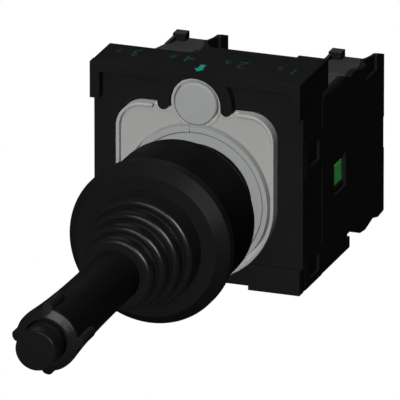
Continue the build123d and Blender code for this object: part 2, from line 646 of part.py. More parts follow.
# The same contact module stands in slot 1 and slot 4. Everything in it is placed by the
# slot's x. Its right wall rises above the terminals, its left wall only at the back.
def module_housing(x):
    right = x + HALF_W
    left = x - HALF_W
    wall_in = right - OUTER_WALL
    foot_z = ARM_TOP + 0.05
    with BuildPart() as housing:
        with BuildSketch(Plane.YZ.offset(left)):
            with BuildLine():
                Polyline(
                    (MODULE_FRONT, foot_z),
                    (WIRE_Y - 2.4, foot_z),
                    (WIRE_Y - 2.1, ARM_TOP + 0.9),
                    (WIRE_Y - 0.2, ARM_TOP + 0.9),
                    (WIRE_Y + 4.8, MODULE_BOTTOM),
                    (MODULE_BACK - 10.1, MODULE_BOTTOM - 0.3),
                    (MODULE_BACK - 6.0, MODULE_BOTTOM + 0.5),
                    (MODULE_BACK - 3.2, MODULE_BOTTOM - 0.2),
                    (MODULE_BACK, MODULE_BOTTOM),
                    (MODULE_BACK, LEDGE_Z),
                    (MODULE_BACK - 2.1, LEDGE_Z),
                    (WIRE_Y + 3.6, CREST_Z),
                    (WIRE_Y + 1.7, LEDGE_Z),
                    (WIRE_Y - 4.2, LEDGE_Z),
                    (WIRE_Y - 6.2, CREST_Z),
                    (MODULE_FRONT, CREST_Z),
                    close=True,
                )
            make_face()
        extrude(amount=2 * HALF_W)
        with BuildSketch(Plane.YZ.offset(wall_in)):
            with BuildLine():
                Polyline(
                    (MODULE_FRONT, LEDGE_Z - 1),
                    (MODULE_FRONT, CREST_Z + 2.35),
                    (WIRE_Y - 4.2, CREST_Z + 2.35),
                    (WIRE_Y - 0.6, CREST_Z + 1.1),
                    (WIRE_Y + 0.8, CREST_Z + 1.5),
                    (WIRE_Y + 3.1, CREST_Z + 1.3),
                    (WIRE_Y + 6.0, CREST_Z + 0.45),
                    (MODULE_BACK - 10.2, CREST_Z + 0.5),
                    (MODULE_BACK - 9.7, CREST_Z + 1.4),
                    (MODULE_BACK - 6.6, CREST_Z + 0.75),
                    (MODULE_BACK - 4.0, CREST_Z + 0.35),
                    (MODULE_BACK - 2.6, CREST_Z + 0.25),
                    (MODULE_BACK, CREST_Z - 0.6),
                    (MODULE_BACK, LEDGE_Z - 1),
                    close=True,
                )
            make_face()
        extrude(amount=right - wall_in)
        rim = housing.edges().filter_by_position(Axis.X, right - 0.01, right + 0.01)
        chamfer(rim.filter_by_position(Axis.Z, CREST_Z + 2.3, CREST_Z + 2.4), 0.5)
        # Thin wall on the left with a post at its rear end.
        wall_y = MODULE_BACK - 6.7
        post_y = MODULE_BACK - 2.3
        block(left, left + OUTER_WALL / 2, wall_y, MODULE_BACK, LEDGE_Z - 1, LEDGE_Z + 0.9)
        block(left, left + 2 * OUTER_WALL, post_y, MODULE_BACK, LEDGE_Z - 1, LEDGE_Z + 1.4)
        # Pocket for the frame's catch.
        block(
            x - CATCH_HALF - 0.1, x + CATCH_HALF + 0.1, CATCH_FRONT - 0.1, CATCH_REAR + 0.1,
            ARM_TOP, ARM_TOP + CATCH_HEIGHT + 0.1, Mode.SUBTRACT,
        )
        # Inner hollow for the plunger, and the window that shows its green flag.
        window_half = FLAG_HALF + MOVING_GAP
        block(
            x - CAVITY_HALF, x + CAVITY_HALF, MODULE_FRONT, CAVITY_END,
            -CAVITY_Z, CAVITY_Z, Mode.SUBTRACT,
        )
        block(
            x, right - 0.55, MODULE_FRONT, WINDOW_REAR + TRAVEL + MOVING_GAP,
            -window_half, window_half, Mode.SUBTRACT,
        )
        block(
            right - 0.5, right, WINDOW_FRONT, WINDOW_REAR,
            -window_half - 1, window_half + 1, Mode.SUBTRACT,
        )
        block(x, right, WINDOW_FRONT, WINDOW_REAR, -window_half, window_half, Mode.SUBTRACT)
        # Two terminals: clamp pocket, screw channel and wire entry.
        for side in (-1, 1):
            block(
                x - CAGE_HALF_X - MOVING_GAP, x + CAGE_HALF_X + MOVING_GAP,
                CAGE_FRONT - MOVING_GAP, CAGE_REAR + MOVING_GAP,
                side * (TERMINAL_Z - 2.3), side * (TERMINAL_Z + 2.1), Mode.SUBTRACT,
            )
            z = side * TERMINAL_Z
            disc(x, z, TERMINAL_SCREW_R + MOVING_GAP, CAGE_REAR, MODULE_BACK, Mode.SUBTRACT)
            disc(x, z, TERMINAL_HEAD_R + MOVING_GAP, CAVITY_END, MODULE_BACK, Mode.SUBTRACT)
            with Locations((x, WIRE_Y, side * (LEDGE_Z + 0.4))):
                Cylinder(WIRE_R, 4.0, mode=Mode.SUBTRACT)
        block(left, right, MODULE_BACK - 0.3, MODULE_BACK, -3.0, 3.0, Mode.SUBTRACT)
        block(
            right - 0.5, right, MODULE_BACK - 10, MODULE_BACK - 4,
            LEDGE_Z - 0.3, CREST_Z + 3, Mode.SUBTRACT,
        )
    return housing.part


# The nose plate closes the module's front and plugs into the frame's bay.
def module_nose(x):
    half_x = CAVITY_HALF - 0.05
    half_z = CAVITY_Z - 0.05
    bore = FLAG_HALF + 0.1 + MOVING_GAP
    nose_front = MODULE_FRONT - 1.4
    nose_rear = MODULE_FRONT + 1.8
    with BuildPart() as nose:
        block(x - half_x, x + half_x, MODULE_FRONT, nose_rear, -half_z, half_z)
        plug_x = half_x - 0.45
        plug_z = half_z - 0.95
        block(x - plug_x, x + plug_x, nose_front, MODULE_FRONT, -plug_z, plug_z)
        block(x - bore, x + bore, nose_front, nose_rear, -bore, bore, Mode.SUBTRACT)
    return nose.part


# The plunger carries the green flag and the contact bridge.
def plunger(x):
    side = CAVITY_HALF - MOVING_GAP
    wide_z = CAVITY_Z - 3.0
    with BuildPart() as slider:
        block(x - STEM_HALF, x + STEM_HALF, ARM_END, SLIDER_FRONT, -STEM_HALF, STEM_HALF)
        block(x - side, x + side, SLIDER_FRONT, SLIDER_REAR, -wide_z, wide_z)
        block(
            x + side - 0.1, x + HALF_W - 0.7, SLIDER_FRONT, WINDOW_REAR - MOVING_GAP,
            -FLAG_HALF, FLAG_HALF,
        )
        block(x - FLAG_HALF, x + FLAG_HALF, SLIDER_REAR, PLUNGER_END, -2.2, 2.2)
        block(
            x - 1.3, x + 1.3, BRIDGE_Y, BRIDGE_Y + BRIDGE_THICK, -2.2, 2.2, Mode.SUBTRACT
        )
    return slider.part


def contact_bridge(x):
    rivet_start = BRIDGE_Y + BRIDGE_THICK
    with BuildPart() as bridge:
        block(x - 1.25, x + 1.25, BRIDGE_Y, rivet_start, -RIVET_Z - 1.3, RIVET_Z + 1.3)
        for side in (-1, 1):
            disc(x, side * RIVET_Z, RIVET_R, rivet_start, rivet_start + RIVET_DEPTH)
    return bridge.part


def fixed_contacts(x):
    with BuildPart() as contacts:
        for side in (-1, 1):
            low = side * (RIVET_Z - 1.3)
            high = side * (TERMINAL_Z + 1.8)
            block(x - STRIP_HALF, x + STRIP_HALF, STRIP_Y, STRIP_Y + STRIP_THICK, low, high)
            disc(x, side * RIVET_Z, RIVET_R, RIVET_FRONT, STRIP_Y)
    return contacts.part


def terminal_clamps(x):
    with BuildPart() as clamps:
        for side in (-1, 1):
            low = side * (TERMINAL_Z - CAGE_HALF_Z)
            high = side * (TERMINAL_Z + CAGE_HALF_Z)
            hollow = CAGE_HALF_X - CAGE_WALL_X
            hollow_front = CAGE_FRONT + 1
            hollow_rear = CAGE_REAR - CAGE_WALL_Y
            block(x - CAGE_HALF_X, x + CAGE_HALF_X, CAGE_FRONT, CAGE_REAR, low, high)
            block(x - hollow, x + hollow, hollow_front, hollow_rear, low, high, Mode.SUBTRACT)
            disc(
                x, side * TERMINAL_Z, TERMINAL_SCREW_R, hollow_rear, CAGE_REAR, Mode.SUBTRACT
            )
    return clamps.part


def terminal_screws():
    head_end = CAVITY_END + 2.0
    with BuildPart() as screws:
        for x in (SLOTS[0], SLOTS[3]):
            for side in (-1, 1):
                z = side * TERMINAL_Z
                disc(x, z, TERMINAL_SCREW_R, STRIP_Y + STRIP_THICK + 0.4, CAVITY_END)
                disc(x, z, TERMINAL_HEAD_R, CAVITY_END, head_end)
                block(
                    x - 0.4, x + 0.4, head_end - 1.0, head_end,
                    z - TERMINAL_HEAD_R, z + TERMINAL_HEAD_R, Mode.SUBTRACT,
                )
    return screws.part


for x, word in ((SLOTS[3], "right"), (SLOTS[0], "left")):
    save(module_housing(x), f"{word}_module_housing")
    save(module_nose(x), f"{word}_module_nose")
    save(plunger(x), f"{word}_plunger")
    save(contact_bridge(x), f"{word}_contact_bridge")
    save(fixed_contacts(x), f"{word}_fixed_contacts")
    save(terminal_clamps(x), f"{word}_terminal_clamps")
    save(coil(x, 0, PLUNGER_END, CAVITY_END, 2.0, 0.25, 4), f"{word}_plunger_spring")
save(terminal_screws(), "terminal_screws")
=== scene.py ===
# %% [markdown]
# A panel joystick is dressed here over its CAD frame. The CAD solids keep every size. This
# script gives them moulded plastic, rubber and metal, and makes anew the few pieces that
# need rounder forms or that bend: bellows, grip, button, springs, screws and slot numerals.

import json
import math

import bmesh
import bpy
from mathutils import Matrix, Vector


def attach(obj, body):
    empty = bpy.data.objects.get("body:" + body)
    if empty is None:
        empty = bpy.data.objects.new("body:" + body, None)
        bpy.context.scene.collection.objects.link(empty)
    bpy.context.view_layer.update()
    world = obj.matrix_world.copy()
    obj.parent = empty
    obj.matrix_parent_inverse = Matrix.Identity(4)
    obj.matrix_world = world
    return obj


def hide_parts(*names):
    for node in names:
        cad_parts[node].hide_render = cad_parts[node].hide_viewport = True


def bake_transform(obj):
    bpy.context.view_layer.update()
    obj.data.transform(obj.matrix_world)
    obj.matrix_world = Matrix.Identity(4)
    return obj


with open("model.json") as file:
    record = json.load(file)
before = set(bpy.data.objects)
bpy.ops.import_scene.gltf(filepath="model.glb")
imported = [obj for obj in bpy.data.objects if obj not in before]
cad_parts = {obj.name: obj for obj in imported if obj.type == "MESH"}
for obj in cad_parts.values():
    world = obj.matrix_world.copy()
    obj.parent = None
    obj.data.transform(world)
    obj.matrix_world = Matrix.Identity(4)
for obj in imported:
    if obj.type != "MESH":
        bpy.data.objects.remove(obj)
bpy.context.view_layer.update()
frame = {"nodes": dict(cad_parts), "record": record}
nodes = frame["nodes"]
MM = 0.001
print("CAD nodes:", len(nodes))

# %% [markdown]
# The joystick's own sizes come next. They repeat the named values of the CAD source in
# millimetres, so that each new piece lands exactly where its solid stands.

# %% Sizes shared with the CAD source
FRAME_TOP = 24.13
FLANGE_FRONT = -25.7
FLANGE_BORE_R = 8.8
BELLOWS_SEAT = 1.8
BELLOWS_WALL = 0.8
RIDGES = 4
FIRST_RIDGE = 5.2
RIDGE_PITCH = 3.7
RIDGE_STEP = 1.2
RIDGE_R = 10.5
GROOVE_DEPTH = 0.5
GRIP_START = FLANGE_FRONT - FIRST_RIDGE - (RIDGES - 1) * RIDGE_PITCH
GRIP_END = -76.0
GRIP_R = 4.8
GRIP_END_R = 5.85
RIB_START = -70.6
END_RING_DEPTH = 1.4
TUBE_R = 3.4
CHAMBER_R = 4.1
CHAMBER_START = -70.5
BUTTON_R = 3.76
BUTTON_FACE = -82.4
BUTTON_REAR = -75.5
ROD_R = 1.3
ROD_SEAT = 2.0
PIVOT_Y = -16.5
NOSE_X = 6.5
YOKE_REAR = PIVOT_Y + 2.5
BUSH_FRONT = -9.0
PLUNGER_END = 33.0
CAVITY_END = 43.0
SLOT_X = (-15.0, 15.0)
TERMINAL_Z = 10.2
LEDGE_Z = FRAME_TOP - 10.53
CREST_Z = LEDGE_Z + 2.0
MODULE_HALF = 4.95
OUTER_WALL = 1.2
RING_LAND_R = 12.8
print("grip starts at", round(GRIP_START, 2), "mm")

# %% [markdown]
# Materials here are node trees. Wiring every socket by hand hides what a tree does, so a few
# helpers come first. Each one makes a node, feeds it numbers or other nodes' outputs, and
# gives back its result. A formula in the tree then reads like a formula in the script.


# %% Node helpers
def new_group(name, inputs, outputs, kind="ShaderNodeTree"):
    """An empty node group with named sockets, and its two end nodes."""
    tree = bpy.data.node_groups.new(name, kind)
    for title, socket_kind, value in inputs:
        socket = tree.interface.new_socket(title, in_out="INPUT", socket_type=socket_kind)
        if value is not None:
            socket.default_value = value
    for title, socket_kind in outputs:
        tree.interface.new_socket(title, in_out="OUTPUT", socket_type=socket_kind)
    return tree, tree.nodes.new("NodeGroupInput"), tree.nodes.new("NodeGroupOutput")


def node(tree, kind, **values):
    """A node with its settings and the values of its unlinked inputs."""
    made = tree.nodes.new(kind)
    for key, value in values.items():
        if key in made.inputs:
            made.inputs[key].default_value = value
        else:
            setattr(made, key, value)
    return made


def feed(tree, socket, value):
    """Link an output to a socket, or set the socket to a plain value."""
    if isinstance(value, bpy.types.NodeSocket):
        tree.links.new(value, socket)
    else:
        socket.default_value = value


def feed_all(tree, sockets, values):
    """Feed several sockets, each named by its title."""
    for title, value in values.items():
        feed(tree, sockets[title], value)


def maths(tree, operation, *values):
    """The result of one Math node."""
    made = node(tree, "ShaderNodeMath", operation=operation)
    for socket, value in zip(made.inputs, values):
        feed(tree, socket, value)
    return made.outputs[0]


def vector_maths(tree, operation, *values):
    """The result of one Vector Math node, a number for a length or a dot product."""
    made = node(tree, "ShaderNodeVectorMath", operation=operation)
    for socket, value in zip(made.inputs, values):
        feed(tree, socket, value)
    return made.outputs["Value" if operation in ("LENGTH", "DOT_PRODUCT") else "Vector"]


def remap(tree, value, low, high, to_low=0.0, to_high=1.0, smooth=False):
    """A value moved from one range to another, and held inside it."""
    style = "SMOOTHSTEP" if smooth else "LINEAR"
    made = node(tree, "ShaderNodeMapRange", interpolation_type=style)
    feed_all(tree, made.inputs, {
        "Value": value, "From Min": low, "From Max": high, "To Min": to_low, "To Max": to_high,
    })
    return made.outputs["Result"]


def noise(tree, place, scale, detail=2.0, roughness=0.5):
    """Cloudy noise in 0..1."""
    made = node(tree, "ShaderNodeTexNoise", Detail=detail, Roughness=roughness)
    feed_all(tree, made.inputs, {"Vector": place, "Scale": scale})
    return made.outputs["Fac"]


def split(tree, vector):
    """The X, Y and Z of a vector."""
    made = node(tree, "ShaderNodeSeparateXYZ")
    feed(tree, made.inputs[0], vector)
    return tuple(made.outputs)


def true_normal(tree):
    """The way a face looks, without smoothing or bump."""
    return node(tree, "ShaderNodeNewGeometry").outputs["True Normal"]


def object_place(tree):
    """The place of a point in metres, from the origin of its object."""
    return node(tree, "ShaderNodeTexCoord").outputs["Object"]


def axis_distance(tree, place):
    """Distance from the Y axis in millimetres."""
    flat = vector_maths(tree, "MULTIPLY", place, (1 / MM, 0, 1 / MM))
    return vector_maths(tree, "LENGTH", flat)


# %% [markdown]
# Four shader groups carry what several finishes share. Moulded plastic has a fine spark
# grain, so the first group gives a small height and a change of roughness. Edges that
# hands and tools touch wear lighter, and the lighter edge is also a painted highlight; the
# second finds them by comparing the true normal with a rounded one. The third is soft
# handling marks, the fourth lines of brushed metal. A group puts out only numbers, masks
# or normals. The shader itself stays in the material.


# %% Shader groups for every finish
VECTOR_INPUT = ("Vector", "NodeSocketVector", None)
FLAT_ALIKE, EDGE_ALIKE = 0.995, 0.80    # true and rounded normal on a face and on an edge


def spark_grain():
    """Fine moulded texture: height in 0..1 and roughness change around 0."""
    tree, inside, outside = new_group(
        "spark_grain",
        [VECTOR_INPUT, ("Grain mm", "NodeSocketFloat", 0.12)],
        [("Height", "NodeSocketFloat"), ("Rough Change", "NodeSocketFloat")],
    )
    place = inside.outputs["Vector"]
    scale = maths(tree, "DIVIDE", 1 / MM, inside.outputs["Grain mm"])
    feed_all(tree, outside.inputs, {
        "Height": noise(tree, place, scale, 3.0, 0.6),
        "Rough Change": maths(tree, "SUBTRACT", noise(tree, place, 160.0), 0.5),
    })
    return tree


def edge_wear_and_highlight():
    """A mask that is 1 on sharp edges, broken up by a noise: wear and painted edge highlight."""
    tree, inside, outside = new_group(
        "edge_wear_and_highlight",
        [VECTOR_INPUT, ("Width mm", "NodeSocketFloat", 0.2), ("Breakup", "NodeSocketFloat", 0.5)],
        [("Mask", "NodeSocketFloat"), ("Rounded Normal", "NodeSocketVector")],
    )
    bevel = node(tree, "ShaderNodeBevel", samples=4)
    rounded_normal = bevel.outputs["Normal"]
    feed(tree, bevel.inputs["Radius"], maths(tree, "MULTIPLY", inside.outputs["Width mm"], MM))
    alike = vector_maths(tree, "DOT_PRODUCT", rounded_normal, true_normal(tree))
    edge = remap(tree, alike, FLAT_ALIKE, EDGE_ALIKE)
    cloud = noise(tree, inside.outputs["Vector"], 900.0, 4.0)
    least = maths(tree, "SUBTRACT", 1.0, inside.outputs["Breakup"])
    broken = remap(tree, cloud, 0.35, 0.65, least)
    feed_all(tree, outside.inputs, {
        "Mask": maths(tree, "MULTIPLY", edge, broken), "Rounded Normal": rounded_normal,
    })
    return tree


def handling_marks():
    """Soft cloudy mask of dust and finger marks, stronger on faces that look up."""
    tree, inside, outside = new_group(
        "handling_marks",
        [VECTOR_INPUT, ("Amount", "NodeSocketFloat", 0.3)],
        [("Mask", "NodeSocketFloat")],
    )
    cloud = noise(tree, inside.outputs["Vector"], 55.0, 5.0, 0.55)
    up = remap(tree, split(tree, true_normal(tree))[2], -0.4, 1.0, 0.25)
    marks = maths(tree, "MULTIPLY", remap(tree, cloud, 0.45, 0.75), up)
    feed(tree, outside.inputs["Mask"], maths(tree, "MULTIPLY", marks, inside.outputs["Amount"]))
    return tree


def brushed_lines():
    """Long fine lines along Y for turned and drawn metal."""
    tree, inside, outside = new_group(
        "brushed_lines",
        [VECTOR_INPUT, ("Stretch", "NodeSocketFloat", 12.0)],
        [("Height", "NodeSocketFloat"), ("Tone", "NodeSocketFloat")],
    )
    x, y, z = split(tree, inside.outputs["Vector"])
    squeezed = node(tree, "ShaderNodeCombineXYZ")
    feed_all(tree, squeezed.inputs, {
        "X": x, "Y": maths(tree, "DIVIDE", y, inside.outputs["Stretch"]), "Z": z,
    })
    lines = noise(tree, squeezed.outputs[0], 5200.0)
    feed_all(tree, outside.inputs, {"Height": lines, "Tone": lines})
    return tree


GRAIN = spark_grain()
WEAR_AND_HIGHLIGHT = edge_wear_and_highlight()
MARKS = handling_marks()
LINES = brushed_lines()
print("shader groups:", [g.name for g in (GRAIN, WEAR_AND_HIGHLIGHT, MARKS, LINES)])

# %% [markdown]
# Three more groups are masks for one place each: a fine line around the locking ring,
# painted shade in the folds of the bellows, and painted light on the top faces of the
# modules. They find it from the coordinates and from the way a face looks, so they need no
# picture and no unwrapping.


# %% Shader groups for one place
FOLD_REACH = 3.4                 # the fold's shade fades out this far along the skin
FOOT_REACH = 0.32                # the foot's shade fades out this far up the next ridge
FOOT_SHADE = 0.85
FACE_SLACK = 0.05                # slack of the tests, less than any step of the shapes


def turned_seam():
    """A thin line of one radius about the Y axis."""
    tree, inside, outside = new_group(
        "turned_seam",
        [
            VECTOR_INPUT,
            ("Radius mm", "NodeSocketFloat", 10.0),
            ("Width mm", "NodeSocketFloat", 0.2),
        ],
        [("Mask", "NodeSocketFloat")],
    )
    out = axis_distance(tree, inside.outputs["Vector"])
    half = maths(tree, "MULTIPLY", inside.outputs["Width mm"], 0.5)
    line = maths(tree, "COMPARE", out, inside.outputs["Radius mm"], half)
    feed(tree, outside.inputs["Mask"], line)
    return tree


def bellows_fold_shade():
    """Painted shade in the fold behind each ridge, along Y, and at the foot before the next."""
    tree, inside, outside = new_group(
        "bellows_fold_shade",
        [VECTOR_INPUT, ("Fold mm", "NodeSocketFloat", FOLD_REACH)],
        [("Mask", "NodeSocketFloat")],
    )
    place = inside.outputs["Vector"]
    y = split(tree, place)[1]
    along = maths(tree, "MULTIPLY_ADD", y, -1 / MM, GRIP_START - FACE_SLACK)
    step = maths(tree, "FLOORED_MODULO", along, RIDGE_PITCH)
    fold = remap(tree, step, 0.0, inside.outputs["Fold mm"], 1.0, 0.0, smooth=True)
    past_flange = maths(tree, "LESS_THAN", y, (FLANGE_FRONT - FIRST_RIDGE - 0.02) * MM)
    out = maths(tree, "SUBTRACT", axis_distance(tree, place), RIDGE_R + 0.03)
    ring = maths(tree, "FLOORED_MODULO", out, RIDGE_STEP)
    foot = remap(tree, ring, 0.0, FOOT_REACH, FOOT_SHADE, 0.0, smooth=True)
    before_grip = maths(tree, "GREATER_THAN", y, (GRIP_START + 0.3) * MM)
    mask = maths(
        tree, "MAXIMUM",
        maths(tree, "MULTIPLY", fold, past_flange), maths(tree, "MULTIPLY", foot, before_grip),
    )
    feed(tree, outside.inputs["Mask"], mask)
    return tree


def module_tops_painted_light():
    """Mask of painted light on the flat and sloped top faces between each module's side walls.

    The modules stand one distance apart, so the remainder of X by it serves them both.
    """
    tree, inside, outside = new_group(
        "module_tops_painted_light", [VECTOR_INPUT], [("Mask", "NodeSocketFloat")],
    )
    x, _, z = split(tree, inside.outputs["Vector"])
    across = maths(tree, "FLOORED_MODULO", x, (SLOT_X[1] - SLOT_X[0]) * MM)
    mask = maths(tree, "GREATER_THAN", split(tree, true_normal(tree))[2], 0.4)
    for value, operation, limit in (
        (z, "GREATER_THAN", LEDGE_Z - 0.35),
        (z, "LESS_THAN", CREST_Z + FACE_SLACK),
        (across, "LESS_THAN", SLOT_X[1] + MODULE_HALF - OUTER_WALL),
    ):
        mask = maths(tree, "MULTIPLY", mask, maths(tree, operation, value, limit * MM))
    feed(tree, outside.inputs["Mask"], mask)
    return tree


SEAM = turned_seam()
FOLD_SHADE_MASK = bellows_fold_shade()
LIT_TOPS_MASK = module_tops_painted_light()
print("masks:", [g.name for g in (SEAM, FOLD_SHADE_MASK, LIT_TOPS_MASK)])

# %% [markdown]
# Every finish is built the same way: a colour that shifts a little, a roughness that
# changes, and a bump from the grain. One function wires the groups into a Principled
# shader. A second lays one more colour over a finish where a mask says so.


# %% Finishes
# The lighter edges are partly wear and partly painted highlight.
BREAKUP = 0.6                    # how much the noise breaks up the worn edges
DUST_GAIN, DUST_LIFT = 1.6, 0.004
ROUGH_SWING = 0.25
BUMP_STRENGTH = 0.35


def use_group(tree, group, **values):
    """A shader group in a material. Its inputs are named with _ for a space."""
    made = tree.nodes.new("ShaderNodeGroup")
    made.node_tree = group
    feed_all(tree, made.inputs, {key.replace("_", " "): values[key] for key in values})
    return made.outputs


def mix_colour(tree, factor, first, second):
    """Blend two colours by a mask. Each colour is a tuple or an output socket."""
    mix = node(tree, "ShaderNodeMix", data_type="RGBA")
    for socket, colour in ((mix.inputs[6], first), (mix.inputs[7], second)):
        feed(tree, socket, (*colour, 1.0) if isinstance(colour, tuple) else colour)
    feed(tree, mix.inputs[0], factor)
    return mix.outputs[2]


def finish(name, base, worn_and_highlight, rough, specular, grain=0.12, depth=0.02, width=0.15,
           wear_and_highlight=0.5, marks=0.25, mark_tone=None, metal=False):
    """A moulded or metal finish with grain, edges lighter from wear and painted highlight, and
    handling marks.
    """
    material = bpy.data.materials.new(name)
    material.use_nodes = True
    tree = material.node_tree
    shader = tree.nodes["Principled BSDF"]
    place = object_place(tree)
    if metal:
        texture = use_group(tree, LINES, Vector=place)
    else:
        texture = use_group(tree, GRAIN, Vector=place, Grain_mm=grain)
    edges = use_group(tree, WEAR_AND_HIGHLIGHT, Vector=place, Width_mm=width, Breakup=BREAKUP)
    dust = use_group(tree, MARKS, Vector=place, Amount=marks)
    tone = mark_tone or tuple(min(1.0, c * DUST_GAIN + DUST_LIFT) for c in base)
    colour = mix_colour(tree, dust["Mask"], base, tone)
    colour = mix_colour(tree, maths(tree, "MULTIPLY", edges["Mask"], wear_and_highlight), colour, worn_and_highlight)
    change = texture["Tone" if metal else "Rough Change"]
    bump = node(tree, "ShaderNodeBump", Strength=BUMP_STRENGTH, Distance=depth * MM)
    feed_all(tree, bump.inputs, {"Height": texture["Height"], "Normal": edges["Rounded Normal"]})
    feed_all(tree, shader.inputs, {
        "Base Color": colour,
        "Roughness": maths(tree, "MULTIPLY_ADD", change, ROUGH_SWING, rough),
        "Normal": bump.outputs["Normal"],
        "Specular IOR Level": specular,
        "Metallic": float(metal),
    })
    return material


def overlay(material, colour, group, **values):
    """Lay a colour over a finish where the mask of a group is 1."""
    tree = material.node_tree
    socket = tree.nodes["Principled BSDF"].inputs["Base Color"]
    under = socket.links[0].from_socket
    mask = use_group(tree, group, Vector=object_place(tree), **values)["Mask"]
    feed(tree, socket, mix_colour(tree, mask, under, colour))
    return material


# %% [markdown]
# The colours are linear values. The joystick is nearly black, and its pieces differ more in
# gloss than in colour: the frame is dull, the grip is satin, and the button, its ring and
# the rubber shine. The drum and the grip sleeve take darker copies of the black as painted
# shade. The bellows, ring and modules get one overlay each: painted shade in the folds, a
# fine line on the ring, and painted light on the modules' tops. Lighter edges are partly
# wear and partly painted highlight.


# %% Materials
def black(level):
    """A near black with a trace of blue."""
    return (level, level, level + 0.0001)


SOOT = black(0.0092)
# Lighter edge colour: partly wear, partly a painted highlight along edges.
WORN_AND_EDGE_HIGHLIGHT = (0.030, 0.030, 0.031)
# Painted shade: near black laid into the bellows' folds and at each ridge's foot, where shade
# falls.
PAINTED_FOLD_SHADE = (0.0012, 0.0012, 0.0012)
SEAM_GREY = (0.085, 0.088, 0.085)
# Painted light: a lighter grey on the modules' upward faces, for the light that they catch.
PAINTED_TOP_LIGHT = (0.036, 0.036, 0.0355)
SEAM_WIDTH = 0.22
materials = {
    "frame_plastic": finish("frame_plastic", SOOT, WORN_AND_EDGE_HIGHLIGHT, 0.62, 0.04, width=0.3, wear_and_highlight=0.35),
    "module_plastic": overlay(
        finish("module_plastic", SOOT, WORN_AND_EDGE_HIGHLIGHT, 0.58, 0.05), PAINTED_TOP_LIGHT, LIT_TOPS_MASK,
    ),
    "black_plastic": finish("black_plastic", SOOT, WORN_AND_EDGE_HIGHLIGHT, 0.42, 0.15, grain=0.08),
    # The drum and the grip sleeve are darker copies of the same black: painted shade on their
    # round sides.
    "drum_plastic_painted_shade": finish(
        "drum_plastic_painted_shade", black(0.0040), WORN_AND_EDGE_HIGHLIGHT, 0.55, 0.03, grain=0.08, wear_and_highlight=0.2,
    ),
    "grip_plastic_painted_shade": finish(
        "grip_plastic_painted_shade", black(0.0050), WORN_AND_EDGE_HIGHLIGHT, 0.42, 0.06, grain=0.08, wear_and_highlight=0.2,
    ),
    "flange_plastic": finish(
        "flange_plastic", black(0.0076), WORN_AND_EDGE_HIGHLIGHT, 0.45, 0.15, grain=0.08, wear_and_highlight=0.2,
    ),
    "gloss_plastic": finish(
        "gloss_plastic", black(0.0074), WORN_AND_EDGE_HIGHLIGHT, 0.26, 0.34, grain=0.06, depth=0.008, marks=0.15,
    ),
    "end_ring_plastic": finish(
        "end_ring_plastic", black(0.0072), WORN_AND_EDGE_HIGHLIGHT, 0.26, 0.85, grain=0.06, depth=0.008,
        marks=0.15,
    ),
    # The rubber carries painted shade in its folds.
    "rubber": overlay(
        finish("bellows_rubber", black(0.0068), (0.02, 0.02, 0.02), 0.27, 0.68, grain=0.2,
               depth=0.006, marks=0.2),
        PAINTED_FOLD_SHADE, FOLD_SHADE_MASK,
    ),
    # The plate's wide light rim is partly wear and partly painted highlight.
    "grey_plate": finish(
        "grey_plate", (0.325, 0.325, 0.318), (0.62, 0.62, 0.60), 0.55, 0.3, grain=0.15,
        marks=0.3, wear_and_highlight=0.8, mark_tone=(0.28, 0.28, 0.27), width=0.5,
    ),
    "grey_plastic": overlay(
        finish("grey_plastic", (0.300, 0.312, 0.303), (0.40, 0.41, 0.40), 0.50, 0.35,
               grain=0.1, marks=0.3, mark_tone=(0.26, 0.27, 0.26), width=0.1),
        SEAM_GREY, SEAM, Radius_mm=RING_LAND_R, Width_mm=SEAM_WIDTH,
    ),
    "green_plastic": finish(
        "green_flag", (0.070, 0.620, 0.095), (0.12, 0.65, 0.15), 0.35, 0.4, marks=0.15,
    ),
    "pale_plastic": finish(
        "pale_guides", (0.66, 0.63, 0.55), (0.75, 0.73, 0.68), 0.5, 0.4, marks=0.2,
        mark_tone=(0.52, 0.49, 0.42),
    ),
    "brass": finish(
        "contact_brass", (0.72, 0.50, 0.20), (0.85, 0.68, 0.38), 0.25, 0.5, depth=0.005,
        marks=0.4, mark_tone=(0.45, 0.28, 0.10), metal=True,
    ),
    "steel": finish(
        "drawn_steel", (0.55, 0.55, 0.56), (0.75, 0.75, 0.76), 0.22, 0.5, depth=0.005,
        marks=0.3, mark_tone=(0.38, 0.38, 0.39), metal=True,
    ),
}
print("materials:", len(materials))

# %% [markdown]
# The record says which slot each CAD node has. The slots take the finishes of the same
# name. Three black pieces then take their own finish of it: the drum is the darkest, its
# darker black a painted shade, the flange in front of it shines a little, and the ring around
# the button shines most.

# %% Dress the CAD nodes
for entry in frame["record"]["subparts"]:
    body_mesh = nodes[entry["node"]].data
    body_mesh.materials.clear()
    body_mesh.materials.append(materials[entry["material_slot"]])
for title, shade in (
    ("collar_body", "drum_plastic_painted_shade"), ("front_flange", "flange_plastic"),
    ("grip_end_ring", "end_ring_plastic"),
):
    nodes[title].material_slots[0].material = materials[shade]

# %% [markdown]
# Round pieces are lathe work: a half outline turned about the lever's axis. The outline is
# a list of corners, and a corner may be given a radius, which becomes a small arc. That
# is easier to read and to change than a subdivided cylinder.


# %% Lathe and mesh helpers
CREASE = 32                      # degrees


def stand(name, data):
    """A new object in the scene, from its mesh, text, lamp or camera."""
    made = bpy.data.objects.new(name, data)
    bpy.context.scene.collection.objects.link(made)
    return made


def smooth_shading(mesh, degrees):
    """Smooth shading, with a crease wherever two faces meet at a sharper angle."""
    mesh.shade_smooth()
    mesh.set_sharp_from_angle(angle=math.radians(degrees))


def evaluated_mesh(made):
    """The mesh that an object has after its modifiers or from its text."""
    bpy.context.view_layer.update()
    graph = bpy.context.evaluated_depsgraph_get()
    return bpy.data.meshes.new_from_object(made.evaluated_get(graph))


